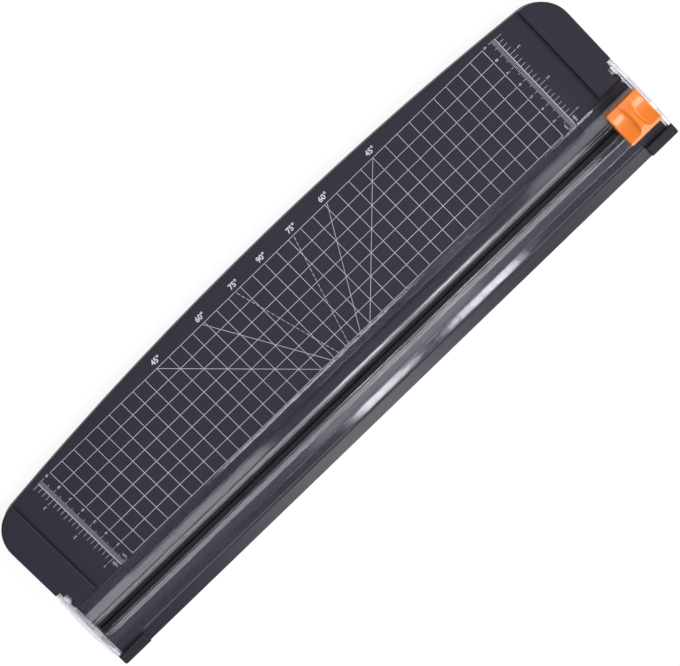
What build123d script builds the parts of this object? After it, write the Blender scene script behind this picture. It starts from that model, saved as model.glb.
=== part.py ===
from build123d import *
import os
from math import cos, hypot, pi, radians, sin, sqrt, tan

# Paper trimmer: a flat bed, a clear guide rail hinged behind the cut and a press-to-cut slider.
# Millimetres, +Z up. X runs along the cut and -Y is the front, where the cut strip falls away.
# The origin lies on the desk, under the middle of the base.

# Base
BASE_LENGTH = 463.0
BASE_DEPTH = 128.6
BASE_HEIGHT = 10.5  # lower rim to bed
BACK_BOW = 10.0  # how far the back edge bows out between the fences
BACK_CORNER_RADIUS = 21.0
FRONT_CORNER_RADIUS = 1.5
BLOCK_LENGTH = 21.0  # each raised end block, from its fence to the base's end
FENCE_STEP = 3.0
BLOCK_TO_RAIL = 1.5
LUG_DEPTH = 6.7
LIP_DEPTH = 7.0
LIP_DROP = 1.5
LIP_EDGE_RADIUS = 0.5
FENCE_GROOVE_WIDTH = 0.8  # shallow groove at the foot of each fence
FENCE_GROOVE_DEPTH = 0.8
EDGE_RADIUS = 1.0
WALL = 2.2
TOP_WALL = 2.4
NOTCH_DEPTH = 3.3
RIB_THICKNESS = 1.6
RIB_PITCH = 38.0
RIB_SETBACK = 1.0
LONG_RIB_PITCH = 33.0
LONG_RIB_COUNT = 2

# Feet
FOOT_RADIUS = 6.0
FOOT_PROUD = 1.5
FOOT_SEAT = 1.0
FOOT_CHAMFER = 0.5
FOOT_GAP = 0.15
FOOT_BOSS_WALL = 1.5
FOOT_FROM_END = 36.0
FOOT_FROM_FRONT = 12.6
FOOT_FROM_BACK = 26.0

# Bed in front of the rail, and cutting strip
LIP_TO_RAIL = 1.1  # bed left showing between the lip and the rail
STRIP_TO_NOTCH = 1.5  # from the strip's end to the end plate's notch
STRIP_WIDTH = 8.0
STRIP_WEB = 0.8  # what is left under the groove
STRIP_GAP = 0.15
GROOVE_WIDTH = 1.2
GROOVE_MARGIN = 0.7  # free depth under the blade tip

# Rail hinge
HINGE_BEHIND_BLOCK = 6.3  # from the end block's front face
HINGE_BELOW_BED = 2.0
EAR_RADIUS = 6.2
ARM_WALL = 2.3
ARCH_HEIGHT = 10.0
ARM_FRONT_HEIGHT = 3.5
ARM_FRONT_DROP = 4.0
ARM_EDGE_RADIUS = 0.5
ARM_GAP = 0.4  # between an end plate and the base, front and back
COLLAR_RADIUS = 2.7
COLLAR_LENGTH = 3.5
PIN_RADIUS = 2.0
PIN_LENGTH = 6.5
PIN_CLEARANCE = 0.05
AXIAL_GAP = 0.3

# Rail section, heights above the bed
RAIL_WIDTH = 37.8
RIDGE_WIDTH = 26.2
LIP_WIDTH = 3.7
SLOT_WIDTH = 7.0
LIP_HEIGHT = 7.0  # at the slot
LIP_FALL = 0.13  # from the slot to the lip's outer edge
FLANGE_THICKNESS = 2.1
FLANGE_BEVEL = 1.2
RAIL_WALL = 1.8
SLOT_WALL_FOOT = 2.6
PAPER_GAP = 0.3
RIDGE_ROUND = 1.2
SLOT_ROUND = 0.5

# Slider
CAP_LENGTH = 24.4
CAP_WIDTH = 24.2
CAP_WALL = 1.5
CAP_TOP = 1.8
CAP_CORNER_RADIUS = 1.5
CAP_EDGE_RADIUS = 1.2
CAP_GAP = 0.3
DISH_DEPTH = 3.2
DISH_RADIUS = 30.0
DISH_CORNER_RADIUS = 2.6
RIDGE_WAIST = 2.4
RIDGE_END = 6.4
RIDGE_LEAN = 20.0  # degrees that the ridge's sides lean
FRONT_RISE = 0.8  # from the dish floor to the foot of the bevel along the front
BACK_RISE = 1.5  # the same along the back
BEVEL_LEAN = 25.0  # degrees that both bevels rise
PRESS_TRAVEL = 2.5
PRESS_MARGIN = 0.5
RUN_GAP = 0.3
END_GAP = 0.4
PLATE_THICKNESS = 1.9
LEG_WALL = 1.3
LEG_SETBACK = 1.0
POST_LENGTH = 3.1
KEEPER_HOOK = 1.5
KEEPER_THICKNESS = 1.4
HOOK_REACH = 0.8
HOOK_HEIGHT = 1.2
HOOK_SIDE_GAP = 0.8

# Blade and what holds it
BLADE_SIDE = 1.5  # holder left beside the blade
BLADE_THICKNESS = 0.5
BLADE_GRIP = 4.2
BLADE_POINT = 3.2
BLADE_GAP = 0.05
BLADE_SLOT = 1.8
BLADE_SLOT_MARGIN = 0.5
TIP_RETRACT = 0.1
TENON_SHOULDER = 2.0
TENON_CHEEK = 0.6
TENON_HEIGHT = 1.0
TENON_GAP = 0.05
BLADE_PIN_RADIUS = 0.8
BLADE_PIN_GAP = 0.05

# Return springs
SPRING_FROM_EDGE = 3.4  # coil's middle to the carriage plate's edge
SPRING_RADIUS = 1.8
SPRING_WIRE = 0.4
SPRING_TURNS = 3.5
SPRING_POCKET_DEPTH = 1.2
SPRING_POCKET_GAP = 0.3
SPRING_END_GAP = 0.02

# Keeper screws
SCREW_RADIUS = 0.7
SCREW_LENGTH = 4.5
SCREW_HEAD_RADIUS = 1.4
SCREW_HEAD_HEIGHT = 0.7
SCREW_RECESS_LENGTH = 1.7
SCREW_RECESS_WIDTH = 0.4
SCREW_RECESS_DEPTH = 0.4
SCREW_GAP = 0.05

CUT_MARGIN = 1.0  # how far a cutting shape runs past what it cuts
STEPS_A_TURN = 24  # points on a spring's turn where its gaps are measured

# Places worked out from the sizes
half_length = BASE_LENGTH / 2
fence_x = half_length - BLOCK_LENGTH
fence_gap = 2 * fence_x  # the longest sheet it takes, plus 1
front_y = -BASE_DEPTH / 2
back_y = BASE_DEPTH / 2
bow_radius = (fence_x**2 + BACK_BOW**2) / (2 * BACK_BOW)
back_end_y = back_y - bow_radius + sqrt(bow_radius**2 - half_length**2)
rim_z = FOOT_PROUD
bed_z = rim_z + BASE_HEIGHT
fence_z = bed_z + FENCE_STEP
hollow_z = bed_z - TOP_WALL
hollow_length = BASE_LENGTH - 2 * (NOTCH_DEPTH + WALL)
rib_count = int(hollow_length // RIB_PITCH)
lip_hollow_z = bed_z - LIP_DROP - TOP_WALL
lip_top_y = front_y + LIP_DEPTH
lug_back_y = front_y + LUG_DEPTH
cut_y = lip_top_y + LIP_TO_RAIL + RAIL_WIDTH / 2
block_front_y = cut_y + RAIL_WIDTH / 2 + BLOCK_TO_RAIL
hinge_y = block_front_y + HINGE_BEHIND_BLOCK
hinge_z = bed_z - HINGE_BELOW_BED
notch_x = half_length - NOTCH_DEPTH
notch_back_y = hinge_y + EAR_RADIUS + ARM_GAP
strip_length = 2 * (notch_x - STRIP_TO_NOTCH)
arm_x = half_length - ARM_WALL
collar_x = arm_x - COLLAR_LENGTH
pin_x = collar_x - PIN_LENGTH

# Rail section measured from the middle of the slot
slot_half = SLOT_WIDTH / 2
lip_outer = slot_half + LIP_WIDTH
ridge_half = RIDGE_WIDTH / 2
rail_half = RAIL_WIDTH / 2
flange_top = PAPER_GAP + FLANGE_THICKNESS
slope_run = ridge_half - lip_outer
slope_rise = LIP_HEIGHT - LIP_FALL - flange_top
slope_wall = RAIL_WALL * hypot(slope_run, slope_rise) / slope_rise


def slope_height(v):
    """Height above the bed of the rail's sloped side, v away from the cut line."""
    return flange_top + (ridge_half - v) * slope_rise / slope_run


def slope_inside(h):
    """Distance from the cut line of the slope's inner face at height h above the bed."""
    return lip_outer - slope_wall + (LIP_HEIGHT - LIP_FALL - h) * slope_run / slope_rise


# Slider heights above the bed, with the cap up
plate_bottom = LIP_HEIGHT + RUN_GAP
plate_top = plate_bottom + PLATE_THICKNESS
ceiling = plate_top + PRESS_TRAVEL + PRESS_MARGIN
dish_floor = ceiling + CAP_TOP
ridge_top = dish_floor + DISH_DEPTH
ridge_spread = DISH_DEPTH * tan(radians(RIDGE_LEAN))
keeper_top = SLOT_WALL_FOOT - RUN_GAP
keeper_bottom = keeper_top - KEEPER_THICKNESS
cap_lift = PRESS_TRAVEL + PRESS_MARGIN
holder_bottom = keeper_top + cap_lift
blade_top = holder_bottom + BLADE_GRIP
blade_tip = keeper_bottom + TIP_RETRACT
groove_depth = PRESS_TRAVEL - blade_tip + GROOVE_MARGIN
strip_thickness = groove_depth + STRIP_WEB
spring_floor = plate_top - SPRING_POCKET_DEPTH
hook_top = plate_bottom - RUN_GAP
hook_bottom = hook_top - HOOK_HEIGHT

# Slider half lengths along the rail (u) and across it (v)
cap_half_u = CAP_LENGTH / 2
cap_half_v = CAP_WIDTH / 2
cap_bottom = max(slope_height(cap_half_v), flange_top) + cap_lift
plate_half_u = cap_half_u - CAP_WALL - CAP_GAP
plate_half_v = cap_half_v - CAP_WALL - CAP_GAP
leg_half_u = plate_half_u - LEG_SETBACK
leg_half_v = slot_half - RUN_GAP
window_half_u = leg_half_u - POST_LENGTH
window_half_v = leg_half_v - LEG_WALL
holder_half_u = window_half_u - RUN_GAP
holder_half_v = window_half_v - RUN_GAP
blade_width = 2 * (holder_half_u - BLADE_SIDE)
tenon_length = 2 * (holder_half_u - TENON_SHOULDER)
tenon_width = 2 * (holder_half_v - TENON_CHEEK)
spring_offset = plate_half_v - SPRING_FROM_EDGE
screw_u = leg_half_u - POST_LENGTH / 2
slider_x = arm_x - cap_half_u - END_GAP

# The slider's own planes: level ones at the bed, and one across the rail
slider_plane = Plane((slider_x, cut_y, bed_z))
across_plane = Plane((slider_x, cut_y, bed_z), x_dir=(0, 1, 0), z_dir=(1, 0, 0))
along_plane = Plane((slider_x, cut_y, bed_z), x_dir=(1, 0, 0), z_dir=(0, -1, 0))

os.makedirs("parts", exist_ok=True)


def save(piece, name):
    """Label a finished piece and write it under its name."""
    piece.label = name
    export_step(piece, f"parts/{name}.step")


# Base shell: bed, end blocks, front lugs and a ribbed hollow underside
with BuildSketch() as outline:
    with BuildLine():
        back_arc = ThreePointArc((-half_length, back_end_y), (0, back_y), (half_length, back_end_y))
        Polyline(back_arc @ 1, (half_length, front_y), (-half_length, front_y), back_arc @ 0)
    make_face()
    fillet(outline.vertices().group_by(Axis.Y)[-1], radius=BACK_CORNER_RADIUS)
    fillet(outline.vertices().group_by(Axis.Y)[0], radius=FRONT_CORNER_RADIUS)

with BuildSketch() as hollow_plan:
    add(outline.sketch)
    offset(amount=-WALL, kind=Kind.INTERSECTION)
    with Locations((0, lip_top_y)):
        Rectangle(BASE_LENGTH, BASE_DEPTH, align=(Align.CENTER, Align.MAX), mode=Mode.SUBTRACT)
    with Locations((notch_x - WALL, notch_back_y + WALL)):
        Rectangle(BASE_LENGTH, BASE_DEPTH, align=(Align.MIN, Align.MAX), mode=Mode.SUBTRACT)
    with Locations((WALL - notch_x, notch_back_y + WALL)):
        Rectangle(BASE_LENGTH, BASE_DEPTH, align=(Align.MAX, Align.MAX), mode=Mode.SUBTRACT)

with BuildPart() as end_block:
    with BuildSketch(Plane.XY.offset(rim_z)):
        add(outline.sketch)
        with Locations((fence_x, block_front_y)):
            Rectangle(BASE_LENGTH, BASE_DEPTH, align=(Align.MIN, Align.MIN), mode=Mode.INTERSECT)
    extrude(amount=fence_z - rim_z)
    fillet(end_block.edges().group_by(Axis.Z)[-1], radius=EDGE_RADIUS)

with BuildPart() as lug:
    with BuildSketch(Plane.XY.offset(rim_z)):
        with Locations((fence_x, front_y)):
            Rectangle(half_length - fence_x, LUG_DEPTH, align=(Align.MIN, Align.MIN))
    extrude(amount=fence_z - rim_z)
    front_edges = lug.edges().filter_by(Axis.Z).group_by(Axis.Y)[0]
    fillet(front_edges.sort_by(Axis.X)[-1], radius=FRONT_CORNER_RADIUS)
    fillet(lug.edges().group_by(Axis.Z)[-1], radius=EDGE_RADIUS)

foot_x = half_length - FOOT_FROM_END
foot_points = {
    f"foot_{row}_{column}": (x, y)
    for row, y in (("front", front_y + FOOT_FROM_FRONT), ("back", back_y - FOOT_FROM_BACK))
    for column, x in (("left", -foot_x), ("middle", 0), ("right", foot_x))
}

with BuildPart() as base_shell:
    with BuildSketch(Plane.XY.offset(rim_z)):
        add(outline.sketch)
    extrude(amount=BASE_HEIGHT)
    # Sloped lip in front of the rail
    with BuildSketch(Plane.YZ.offset(-fence_x)):
        with BuildLine():
            lip_run = LIP_DEPTH + CUT_MARGIN
            lip_end = (lip_top_y - lip_run, bed_z - LIP_DROP * lip_run / LIP_DEPTH)
            Polyline((lip_top_y, bed_z), lip_end, (lip_end[0], bed_z), close=True)
        make_face()
    extrude(amount=fence_gap, mode=Mode.SUBTRACT)
    # Raised ends
    for raised in (end_block, lug):
        add(raised.part)
        add(mirror(raised.part, about=Plane.YZ, mode=Mode.PRIVATE))
    bed_edges = base_shell.edges().filter_by_position(Axis.Z, bed_z, bed_z)
    fillet(bed_edges.sort_by(Axis.Y)[-1], radius=EDGE_RADIUS)
    lip_middle = (0, front_y, bed_z - LIP_DROP)
    fillet(base_shell.edges().sort_by_distance(lip_middle)[0], radius=LIP_EDGE_RADIUS)
    # Groove along each fence
    for side in (-1, 1):
        with BuildSketch(Plane.XY.offset(bed_z)):
            with Locations((side * (fence_x - FENCE_GROOVE_WIDTH / 2), block_front_y)):
                Rectangle(
                    FENCE_GROOVE_WIDTH,
                    back_y - BACK_BOW - WALL - block_front_y,
                    align=(Align.CENTER, Align.MIN),
                )
        extrude(amount=-FENCE_GROOVE_DEPTH, mode=Mode.SUBTRACT)
    # Hollow underside
    with BuildSketch(Plane.XY.offset(rim_z)):
        add(hollow_plan.sketch)
    extrude(amount=hollow_z - rim_z, mode=Mode.SUBTRACT)
    with BuildSketch(Plane.XY.offset(rim_z)):
        with Locations((0, front_y + WALL)):
            Rectangle(fence_gap, LIP_DEPTH - WALL, align=(Align.CENTER, Align.MIN))
    extrude(amount=lip_hollow_z - rim_z, mode=Mode.SUBTRACT)
    # Ribs, let into the walls by half their thickness
    with BuildSketch(Plane.XY.offset(rim_z + RIB_SETBACK)):
        with GridLocations(RIB_PITCH, BASE_DEPTH, rib_count, 1):
            Rectangle(RIB_THICKNESS, BASE_DEPTH)
        with Locations(*[(0, cut_y + row * LONG_RIB_PITCH) for row in range(1, LONG_RIB_COUNT + 1)]):
            Rectangle(BASE_LENGTH, RIB_THICKNESS)
        with BuildSketch(mode=Mode.INTERSECT):
            add(hollow_plan.sketch)
            offset(amount=WALL / 2, kind=Kind.INTERSECTION)
    extrude(amount=hollow_z - rim_z - RIB_SETBACK)
    # Foot bosses, strip trough and hinge bosses
    with BuildSketch(Plane.XY.offset(rim_z)):
        with Locations(*foot_points.values()):
            Circle(FOOT_RADIUS + FOOT_GAP + FOOT_BOSS_WALL)
    extrude(amount=hollow_z - rim_z)
    with BuildSketch(Plane.XY.offset(hollow_z)):
        with Locations((0, cut_y)):
            Rectangle(hollow_length, STRIP_WIDTH + 2 * (STRIP_GAP + WALL))
    extrude(amount=-(strip_thickness + WALL - TOP_WALL))
    for side in (-1, 1):
        with BuildSketch(Plane.YZ.offset(side * notch_x)):
            with Locations((hinge_y, hollow_z)):
                Rectangle(
                    2 * (COLLAR_RADIUS + RUN_GAP + WALL),
                    hollow_z - hinge_z + COLLAR_RADIUS + RUN_GAP + WALL,
                    align=(Align.CENTER, Align.MAX),
                )
        extrude(amount=side * (pin_x - AXIAL_GAP - WALL - notch_x))
    # Trough for the cutting strip
    with BuildSketch(Plane.XY.offset(bed_z)):
        with Locations((0, cut_y)):
            Rectangle(strip_length + 2 * STRIP_GAP, STRIP_WIDTH + 2 * STRIP_GAP)
    extrude(amount=-strip_thickness, mode=Mode.SUBTRACT)
    # Seats for the feet
    with BuildSketch(Plane.XY.offset(rim_z)):
        with Locations(*foot_points.values()):
            Circle(FOOT_RADIUS + FOOT_GAP)
    extrude(amount=FOOT_SEAT, mode=Mode.SUBTRACT)
    # Notches for the end plates, collar slots open at the top, and bores for the stub pins
    for side in (-1, 1):
        with BuildSketch(Plane.YZ.offset(side * notch_x)):
            with Locations((notch_back_y, 0)):
                Rectangle(
                    notch_back_y - lug_back_y,
                    fence_z + CUT_MARGIN,
                    align=(Align.MAX, Align.MIN),
                )
        extrude(amount=side * (NOTCH_DEPTH + CUT_MARGIN), mode=Mode.SUBTRACT)
        with BuildSketch(Plane.YZ.offset(side * notch_x)):
            with Locations((hinge_y, hinge_z)):
                Circle(COLLAR_RADIUS + RUN_GAP)
                Rectangle(
                    2 * (COLLAR_RADIUS + RUN_GAP),
                    fence_z + CUT_MARGIN - hinge_z,
                    align=(Align.CENTER, Align.MIN),
                )
        extrude(amount=side * (collar_x - AXIAL_GAP - notch_x), mode=Mode.SUBTRACT)
        with BuildSketch(Plane.YZ.offset(side * notch_x)):
            with Locations((hinge_y, hinge_z)):
                Circle(PIN_RADIUS + PIN_CLEARANCE)
        extrude(amount=side * (pin_x - AXIAL_GAP - notch_x), mode=Mode.SUBTRACT)
save(base_shell.part, "base_shell")

# Cutting strip with the groove that the blade tip runs in
with BuildPart() as cutting_strip:
    with BuildSketch(Plane.XY.offset(bed_z - strip_thickness)):
        with Locations((0, cut_y)):
            Rectangle(strip_length, STRIP_WIDTH)
    extrude(amount=strip_thickness)
    with BuildSketch(Plane.XY.offset(bed_z)):
        with Locations((0, cut_y)):
            Rectangle(strip_length, GROOVE_WIDTH)
    extrude(amount=-groove_depth, mode=Mode.SUBTRACT)
save(cutting_strip.part, "cutting_strip")

# Rubber feet
for foot_name, foot_place in foot_points.items():
    with BuildPart() as foot:
        with BuildSketch():
            with Locations(foot_place):
                Circle(FOOT_RADIUS)
        extrude(amount=FOOT_PROUD + FOOT_SEAT)
        chamfer(foot.edges().group_by(Axis.Z)[0], length=FOOT_CHAMFER)
    save(foot.part, foot_name)

# Clear rail strips: flange, slope, lip and slot wall, one bent section either side of the slot
for side, place in ((1, "back"), (-1, "front")):
    section = (
        (rail_half, PAPER_GAP, 0),
        (rail_half, flange_top - FLANGE_BEVEL, 0),
        (rail_half - FLANGE_BEVEL, flange_top, 0),
        (ridge_half, flange_top, RIDGE_ROUND),
        (lip_outer, LIP_HEIGHT - LIP_FALL, RIDGE_ROUND),
        (slot_half, LIP_HEIGHT, SLOT_ROUND),
        (slot_half, SLOT_WALL_FOOT, 0),
        (slot_half + RAIL_WALL, SLOT_WALL_FOOT, 0),
        (slot_half + RAIL_WALL, LIP_HEIGHT - RAIL_WALL, 0),
        (slope_inside(LIP_HEIGHT - RAIL_WALL), LIP_HEIGHT - RAIL_WALL, 0),
        (slope_inside(PAPER_GAP), PAPER_GAP, 0),
    )
    with BuildPart() as rail_strip:
        with BuildSketch(Plane.YZ.offset(-arm_x)):
            with BuildLine():
                FilletPolyline(
                    *[(cut_y + side * v, bed_z + h) for v, h, corner in section],
                    radius=[corner for v, h, corner in section],
                    close=True,
                )
            make_face()
        extrude(amount=2 * arm_x)
    save(rail_strip.part, f"rail_strip_{place}")

# Clear end plates: ear round the hinge, arch over the rail, collar and stub pin
reach = hinge_y - lug_back_y - ARM_GAP
front_top_z = bed_z + ARM_FRONT_HEIGHT
front_low_z = bed_z - ARM_FRONT_DROP
front_top = (hinge_y - sqrt(reach**2 - (front_top_z - hinge_z) ** 2), front_top_z)
front_low = (hinge_y - sqrt(reach**2 - (front_low_z - hinge_z) ** 2), front_low_z)
for side, place in ((-1, "left"), (1, "right")):
    with BuildPart() as rail_end:
        with BuildSketch(Plane.YZ.offset(side * arm_x)):
            with BuildLine():
                ear_top = (hinge_y, hinge_z + EAR_RADIUS)
                arch = ThreePointArc(ear_top, (cut_y, bed_z + ARCH_HEIGHT), front_top)
                nose = ThreePointArc(front_top, (hinge_y - reach, hinge_z), front_low)
                foot_line = Line(nose @ 1, (hinge_y, hinge_z - EAR_RADIUS))
                ThreePointArc(foot_line @ 1, (hinge_y + EAR_RADIUS, hinge_z), arch @ 0)
            make_face()
        extrude(amount=side * ARM_WALL)
        outer_face = rail_end.faces().sort_by(Axis.X)[-1 if side > 0 else 0]
        fillet(outer_face.edges(), radius=ARM_EDGE_RADIUS)
        for radius, inner_x in ((COLLAR_RADIUS, collar_x), (PIN_RADIUS, pin_x)):
            with BuildSketch(Plane.YZ.offset(side * arm_x)):
                with Locations((hinge_y, hinge_z)):
                    Circle(radius)
            extrude(amount=side * (inner_x - arm_x))
    save(rail_end.part, f"rail_end_{place}")

# Slider carriage: plate on the lips, wedges on the slopes and a leg frame through the slot
with BuildPart() as slider_carriage:
    with BuildSketch(slider_plane.offset(plate_bottom)):
        Rectangle(2 * plate_half_u, 2 * plate_half_v)
    extrude(amount=PLATE_THICKNESS)
    for side in (-1, 1):
        with BuildSketch(across_plane.offset(-plate_half_u)):
            with BuildLine():
                Polyline(
                    (side * lip_outer, plate_bottom),
                    (side * plate_half_v, plate_bottom),
                    (side * plate_half_v, slope_height(plate_half_v) + RUN_GAP),
                    close=True,
                )
            make_face()
        extrude(amount=2 * plate_half_u)
    with BuildSketch(slider_plane.offset(keeper_top)):
        Rectangle(2 * leg_half_u, 2 * leg_half_v)
    extrude(amount=plate_bottom - keeper_top)
    with BuildSketch(slider_plane.offset(keeper_top)):
        Rectangle(2 * window_half_u, 2 * window_half_v)
    extrude(amount=plate_top - keeper_top, mode=Mode.SUBTRACT)
    with BuildSketch(slider_plane.offset(plate_top)):
        with Locations((0, -spring_offset), (0, spring_offset)):
            Circle(SPRING_RADIUS + SPRING_WIRE / 2 + SPRING_POCKET_GAP)
    extrude(amount=-SPRING_POCKET_DEPTH, mode=Mode.SUBTRACT)
    with BuildSketch(slider_plane.offset(keeper_top)):
        with Locations((-screw_u, 0), (screw_u, 0)):
            Circle(SCREW_RADIUS + SCREW_GAP)
    extrude(amount=SCREW_LENGTH, mode=Mode.SUBTRACT)
save(slider_carriage.part, "slider_carriage")

# Keeper plate under the slot walls
with BuildPart() as slider_keeper:
    with BuildSketch(slider_plane.offset(keeper_bottom)):
        Rectangle(2 * leg_half_u, 2 * (slot_half + KEEPER_HOOK))
        Rectangle(blade_width + 2 * BLADE_SLOT_MARGIN, BLADE_SLOT, mode=Mode.SUBTRACT)
        with Locations((-screw_u, 0), (screw_u, 0)):
            Circle(SCREW_RADIUS + SCREW_GAP, mode=Mode.SUBTRACT)
    extrude(amount=KEEPER_THICKNESS)
    with BuildSketch(slider_plane.offset(keeper_bottom)):
        with Locations((-screw_u, 0), (screw_u, 0)):
            Circle(SCREW_HEAD_RADIUS + SCREW_GAP)
    extrude(amount=SCREW_HEAD_HEIGHT, mode=Mode.SUBTRACT)
save(slider_keeper.part, "slider_keeper")

# Keeper screws with cross recesses
with BuildPart() as keeper_screws:
    with BuildSketch(slider_plane.offset(keeper_bottom)):
        with Locations((-screw_u, 0), (screw_u, 0)):
            Circle(SCREW_HEAD_RADIUS)
    extrude(amount=SCREW_HEAD_HEIGHT)
    with BuildSketch(slider_plane.offset(keeper_bottom)):
        with Locations((-screw_u, 0), (screw_u, 0)):
            Circle(SCREW_RADIUS)
    extrude(amount=SCREW_LENGTH)
    with BuildSketch(slider_plane.offset(keeper_bottom)):
        with Locations((-screw_u, 0), (screw_u, 0)):
            Rectangle(SCREW_RECESS_LENGTH, SCREW_RECESS_WIDTH)
            Rectangle(SCREW_RECESS_WIDTH, SCREW_RECESS_LENGTH)
    extrude(amount=SCREW_RECESS_DEPTH, mode=Mode.SUBTRACT)
save(keeper_screws.part, "keeper_screws")

# Press cap: one dish is cut twice, left and right of the waisted ridge
with BuildPart() as dish:
    with BuildSketch(slider_plane.offset(dish_floor)):
        with BuildLine():
            ridge_front = (RIDGE_END / 2 + ridge_spread, -cap_half_v)
            ridge_back = (RIDGE_END / 2 + ridge_spread, cap_half_v)
            waist = (RIDGE_WAIST / 2 + ridge_spread, 0)
            ThreePointArc(ridge_front, waist, ridge_back)
            Polyline(ridge_back, (CAP_LENGTH, cap_half_v), (CAP_LENGTH, -cap_half_v), ridge_front)
        make_face()
    extrude(amount=DISH_DEPTH + CUT_MARGIN, taper=-RIDGE_LEAN)
    with BuildSketch(across_plane):
        with Locations((0, dish_floor + DISH_RADIUS)):
            Circle(DISH_RADIUS)
    extrude(amount=CAP_LENGTH, mode=Mode.INTERSECT)
    waist_point = slider_plane.origin + Vector(*waist, dish_floor)
    fillet(dish.edges().sort_by_distance(waist_point)[0], radius=DISH_CORNER_RADIUS)

with BuildPart() as press_cap:
    with BuildSketch(slider_plane.offset(cap_bottom)):
        RectangleRounded(CAP_LENGTH, CAP_WIDTH, CAP_CORNER_RADIUS)
    extrude(amount=ridge_top - cap_bottom)
    add(dish.part, mode=Mode.SUBTRACT)
    add(mirror(dish.part, about=Plane.YZ.offset(slider_x), mode=Mode.PRIVATE), mode=Mode.SUBTRACT)
    # Bevels that run up from the front and back walls, over the dishes' ends and the ridge's
    for side, rise in ((-1, FRONT_RISE), (1, BACK_RISE)):
        with BuildSketch(across_plane.offset(-CAP_LENGTH)):
            with BuildLine():
                bevel_run = (DISH_DEPTH - rise + CUT_MARGIN) / tan(radians(BEVEL_LEAN))
                FilletPolyline(
                    (side * cap_half_v, ceiling),
                    (side * cap_half_v, dish_floor + rise),
                    (side * (cap_half_v - bevel_run), ridge_top + CUT_MARGIN),
                    (side * (cap_half_v + CUT_MARGIN), ridge_top + CUT_MARGIN),
                    (side * (cap_half_v + CUT_MARGIN), ceiling),
                    radius=[0, CAP_EDGE_RADIUS, 0, 0, 0],
                    close=True,
                )
            make_face()
        extrude(amount=2 * CAP_LENGTH, mode=Mode.SUBTRACT)
    # Rounded rims along the sides, turned about the dishes' own axis
    with BuildSketch(along_plane):
        for side in (-1, 1):
            with BuildLine():
                rim_top = (side * (cap_half_u - CAP_EDGE_RADIUS), dish_floor)
                rim_foot = (side * cap_half_u, dish_floor - CAP_EDGE_RADIUS)
                Polyline(rim_top, (side * cap_half_u, dish_floor), rim_foot)
                TangentArc(rim_foot, rim_top, tangent=(0, 1))
            make_face()
    dish_middle = slider_plane.origin + Vector(0, 0, dish_floor + DISH_RADIUS)
    revolve(axis=Axis(dish_middle, (1, 0, 0)), mode=Mode.SUBTRACT)
    # Room for the carriage, and for the rail when the cap is down
    with BuildSketch(slider_plane.offset(cap_bottom)):
        Rectangle(CAP_LENGTH - 2 * CAP_WALL, CAP_WIDTH - 2 * CAP_WALL)
    extrude(amount=ceiling - cap_bottom, mode=Mode.SUBTRACT)
    with BuildSketch(across_plane.offset(-CAP_LENGTH)):
        with BuildLine():
            Polyline(
                (-ridge_half, 0),
                (-ridge_half, flange_top + cap_lift),
                (-lip_outer, LIP_HEIGHT + cap_lift),
                (lip_outer, LIP_HEIGHT + cap_lift),
                (ridge_half, flange_top + cap_lift),
                (ridge_half, 0),
                close=True,
            )
        make_face()
    extrude(amount=2 * CAP_LENGTH, mode=Mode.SUBTRACT)
    # Snap hooks under the carriage plate, in the slot
    for side in (-1, 1):
        with BuildSketch(along_plane):
            with BuildLine():
                Polyline(
                    (side * (cap_half_u - CAP_WALL), ceiling),
                    (side * (cap_half_u - CAP_WALL), hook_top),
                    (side * (cap_half_u - CAP_WALL - HOOK_REACH), hook_top),
                    (side * (cap_half_u - CAP_WALL), hook_bottom),
                    (side * cap_half_u, hook_bottom),
                    (side * cap_half_u, ceiling),
                    close=True,
                )
            make_face()
        extrude(amount=slot_half - HOOK_SIDE_GAP, both=True)
    # Mortise for the blade holder
    with BuildSketch(slider_plane.offset(ceiling)):
        Rectangle(tenon_length + 2 * TENON_GAP, tenon_width + 2 * TENON_GAP)
    extrude(amount=TENON_HEIGHT + TENON_GAP, mode=Mode.SUBTRACT)
save(press_cap.part, "press_cap")

# Blade holder with its slit
pin_h = holder_bottom + BLADE_GRIP / 2
with BuildPart() as blade_holder:
    with BuildSketch(slider_plane.offset(holder_bottom)):
        Rectangle(2 * holder_half_u, 2 * holder_half_v)
    extrude(amount=ceiling - holder_bottom)
    with BuildSketch(slider_plane.offset(ceiling)):
        Rectangle(tenon_length, tenon_width)
    extrude(amount=TENON_HEIGHT)
    with BuildSketch(slider_plane.offset(holder_bottom)):
        Rectangle(blade_width + 2 * BLADE_GAP, BLADE_THICKNESS + 2 * BLADE_GAP)
    extrude(amount=BLADE_GRIP + BLADE_GAP, mode=Mode.SUBTRACT)
    with BuildSketch(along_plane):
        with Locations((0, pin_h)):
            Circle(BLADE_PIN_RADIUS + BLADE_PIN_GAP)
    extrude(amount=holder_half_v, both=True, mode=Mode.SUBTRACT)
save(blade_holder.part, "blade_holder")

# Blade, pointed in the middle so that it cuts both ways
with BuildPart() as blade:
    with BuildSketch(along_plane):
        with BuildLine():
            Polyline(
                (-blade_width / 2, blade_top),
                (-blade_width / 2, blade_tip + BLADE_POINT),
                (0, blade_tip),
                (blade_width / 2, blade_tip + BLADE_POINT),
                (blade_width / 2, blade_top),
                close=True,
            )
        make_face()
        with Locations((0, pin_h)):
            Circle(BLADE_PIN_RADIUS + BLADE_PIN_GAP, mode=Mode.SUBTRACT)
    extrude(amount=BLADE_THICKNESS / 2, both=True)
save(blade.part, "blade")

# Pin through holder and blade
with BuildPart() as blade_pin:
    with BuildSketch(along_plane):
        with Locations((0, pin_h)):
            Circle(BLADE_PIN_RADIUS)
    extrude(amount=holder_half_v, both=True)
save(blade_pin.part, "blade_pin")


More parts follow.
